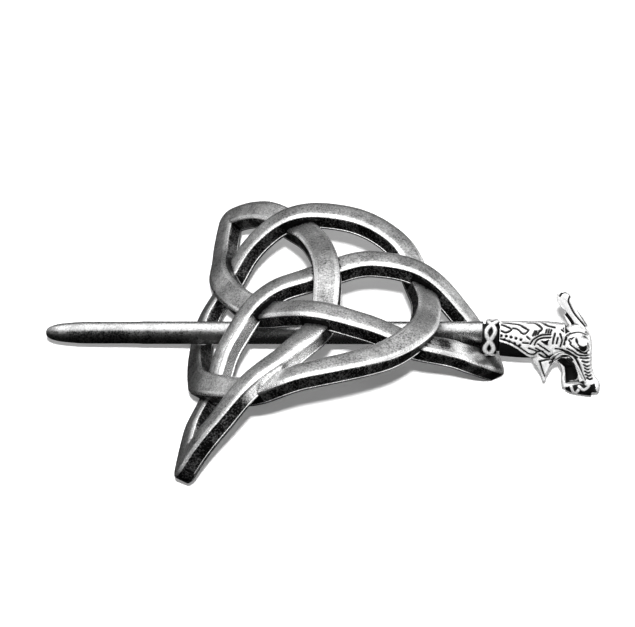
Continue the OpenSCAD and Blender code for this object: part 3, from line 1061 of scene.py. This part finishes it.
def silver(name, looks):
    """Cast antique silver: blackened by the piece's layer of patina and painted shade, with grain, blotches
    and pores.
    """
    material = bpy.data.materials.new(name)
    material.use_nodes = True
    tree = material.node_tree
    shader = tree.nodes["Principled BSDF"]
    shader.inputs["Metallic"].default_value = looks["metallic"]
    place = tree.nodes.new("ShaderNodeTexCoord").outputs["Object"]

    def noise(scale, detail):
        node = tree.nodes.new("ShaderNodeTexNoise")
        node.inputs["Scale"].default_value = scale
        node.inputs["Detail"].default_value = detail
        node.inputs["Roughness"].default_value = NOISE_ROUGHNESS
        tree.links.new(place, node.inputs["Vector"])
        return node.outputs["Fac"]

    def ramp(value, start, end, low, high):
        node = tree.nodes.new("ShaderNodeMapRange")
        for key, number in (("From Min", start), ("From Max", end), ("To Min", low), ("To Max", high)):
            node.inputs[key].default_value = number
        tree.links.new(value, node.inputs["Value"])
        return node.outputs["Result"]

    def add(a, b):
        node = tree.nodes.new("ShaderNodeMath")
        node.operation = "ADD"
        tree.links.new(a, node.inputs[0])
        tree.links.new(b, node.inputs[1])
        return node.outputs[0]

    # The layer of patina and painted shade
    patina_and_shade = tree.nodes.new("ShaderNodeAttribute")
    patina_and_shade.attribute_name = PATINA_AND_SHADE_LAYER
    grain = noise(GRAIN_SCALE, GRAIN_DETAIL)
    blotches = noise(BLOTCH_SCALE, BLOTCH_DETAIL)
    pores = noise(PORE_SCALE, PORE_DETAIL)
    total = add(patina_and_shade.outputs["Fac"], ramp(grain, *GRAIN_RANGE, -looks["grain"], looks["grain"]))
    total = add(total, ramp(blotches, *BLOTCH_RANGE, -looks["blotches"], looks["blotches"]))
    total = add(total, ramp(pores, *PORE_RANGE, looks["pores"], 0))
    colour = tree.nodes.new("ShaderNodeMix")
    colour.data_type = "RGBA"
    colour.inputs["A"].default_value = (*looks["light"], 1)
    colour.inputs["B"].default_value = (*looks["dark"], 1)
    tree.links.new(total, colour.inputs["Factor"])
    tree.links.new(colour.outputs["Result"], shader.inputs["Base Color"])
    rough = ramp(total, 0, 1, looks["roughness"], looks["roughness"] + PATINA_AND_SHADE_ROUGHNESS)
    tree.links.new(rough, shader.inputs["Roughness"])
    bump = tree.nodes.new("ShaderNodeBump")
    bump.inputs["Strength"].default_value = looks["bump"]
    bump.inputs["Distance"].default_value = BUMP_DEPTH * MM
    tree.links.new(add(grain, blotches), bump.inputs["Height"])
    tree.links.new(bump.outputs["Normal"], shader.inputs["Normal"])
    return material


# Floor, lights and surroundings

FLOOR_SIDE = 5000.0
FLOOR_GREY = 0.93
FLOOR_GLOW = 0.09
SOFTBOX_HEIGHT = 0.8
SOFTBOX_NEAR = -0.46
SOFTBOX_FAR = 1.0
SOFTBOX_WIDTH = 1.7
SOFTBOX_RADIANCE = 1.7
# The lamp that throws the shadows on the floor, about where the viewer stands
KEY_AZIMUTH = 7.2
KEY_ELEVATION = 46.5
KEY_DISTANCE = 0.75
KEY_RADIUS = 0.02
KEY_POWER = 42.0
# Brightness of the surroundings: ahead of the object, high and low behind it, and below the horizon
ROOM_AHEAD = 0.05
ROOM_BEHIND = 0.5
ROOM_LOW = 0.1
ROOM_BELOW = 0.01
# Brightness of the low strips of wall on its left and right sides
ROOM_LEFT = 1.3
ROOM_RIGHT = 1.6
# Brightness ahead of it on its left, high up
ROOM_CORNER = 1.6
# Where each begins and ends: directions from the object along X (side), Y (depth), Z (height)
HORIZON = (0.0, 0.05)
BEHIND_HEIGHT = (0.2, 0.7)
BEHIND_DEPTH = (-0.2, 0.5)
LEFT_SIDE = (-0.65, -0.5)
LEFT_DEPTH = (0.0, 0.4)
LEFT_HEIGHT = (0.25, 0.35)
RIGHT_SIDE = (0.35, 0.6)
RIGHT_DEPTH = (-0.65, -0.5)
RIGHT_LOW = (-0.4, -0.2)
RIGHT_HIGH = (0.35, 0.5)
CORNER_SIDE = (-0.5, -0.38)
CORNER_DEPTH = (-0.45, -0.3)
CORNER_HEIGHT = (0.4, 0.5)


def make_floor():
    half = FLOOR_SIDE / 2
    corners = [(-half, -half, 0), (half, -half, 0), (half, half, 0), (-half, half, 0)]
    floor = faceted("floor", corners, [(0, 1, 2, 3)])
    material = bpy.data.materials.new("floor_paper")
    material.use_nodes = True
    shader = material.node_tree.nodes["Principled BSDF"]
    shader.inputs["Base Color"].default_value = (FLOOR_GREY, FLOOR_GREY, FLOOR_GREY, 1)
    shader.inputs["Roughness"].default_value = 1
    shader.inputs["Specular IOR Level"].default_value = 0
    shader.inputs["Emission Color"].default_value = WHITE
    shader.inputs["Emission Strength"].default_value = FLOOR_GLOW
    floor.data.materials.append(material)
    floor.visible_glossy = False


def make_softbox():
    """A wide panel above the brooch, seen in the metal only."""
    width, depth = SOFTBOX_WIDTH, SOFTBOX_FAR - SOFTBOX_NEAR
    data = bpy.data.lights.new("softbox", "AREA")
    data.shape = "RECTANGLE"
    data.size, data.size_y = width, depth
    data.energy = SOFTBOX_RADIANCE * np.pi * width * depth
    lamp = new_object("softbox", data)
    lamp.location = (0, (SOFTBOX_NEAR + SOFTBOX_FAR) / 2, SOFTBOX_HEIGHT)
    lamp.visible_diffuse = False


def make_key():
    """A small lamp on the viewer's side, seen in no metal."""
    data = bpy.data.lights.new("key", "POINT")
    data.shadow_soft_size = KEY_RADIUS
    data.energy = KEY_POWER
    lamp = new_object("key", data)
    lamp.location = AIM + rotation(KEY_AZIMUTH, KEY_ELEVATION, 0)[0] * KEY_DISTANCE
    lamp.visible_glossy = False


def make_world():
    """Dark below the horizon and dim ahead, brighter behind, low on both sides and in one corner."""
    world = bpy.data.worlds.new("studio")
    bpy.context.scene.world = world
    world.use_nodes = True
    tree = world.node_tree
    place = tree.nodes.new("ShaderNodeTexCoord")
    way = tree.nodes.new("ShaderNodeSeparateXYZ")
    tree.links.new(place.outputs["Generated"], way.inputs[0])

    def blend(value, limits, low, high):
        start, end = limits
        node = tree.nodes.new("ShaderNodeMapRange")
        tree.links.new(value, node.inputs["Value"])
        for key, number in (("From Min", start), ("From Max", end), ("To Min", low), ("To Max", high)):
            if isinstance(number, float):
                node.inputs[key].default_value = number
            else:
                tree.links.new(number, node.inputs[key])
        return node.outputs["Result"]

    side, depth, height = way.outputs["X"], way.outputs["Y"], way.outputs["Z"]
    behind = blend(height, BEHIND_HEIGHT, ROOM_LOW, ROOM_BEHIND)
    room = blend(height, HORIZON, ROOM_BELOW, blend(depth, BEHIND_DEPTH, ROOM_AHEAD, behind))
    left = blend(height, HORIZON, room, blend(height, LEFT_HEIGHT, ROOM_LEFT, room))
    left = blend(depth, LEFT_DEPTH, room, left)
    right = blend(height, RIGHT_LOW, room, blend(height, RIGHT_HIGH, ROOM_RIGHT, room))
    right = blend(depth, RIGHT_DEPTH, room, right)
    strength = blend(side, LEFT_SIDE, left, blend(side, RIGHT_SIDE, room, right))
    corner = blend(depth, CORNER_DEPTH, blend(side, CORNER_SIDE, ROOM_CORNER, strength), strength)
    strength = blend(height, CORNER_HEIGHT, strength, corner)
    tree.links.new(strength, tree.nodes["Background"].inputs["Strength"])
    tree.nodes["Background"].inputs["Color"].default_value = WHITE


make_camera()
make_floor()
make_softbox()
make_key()
make_world()
make_knot(silver("knot_antique_silver", KNOT_LOOKS))
make_pin(silver("pin_polished_silver", PIN_LOOKS))
head_material = silver("head_bright_silver", HEAD_LOOKS)
make_collar(head_material)
make_head(head_material)
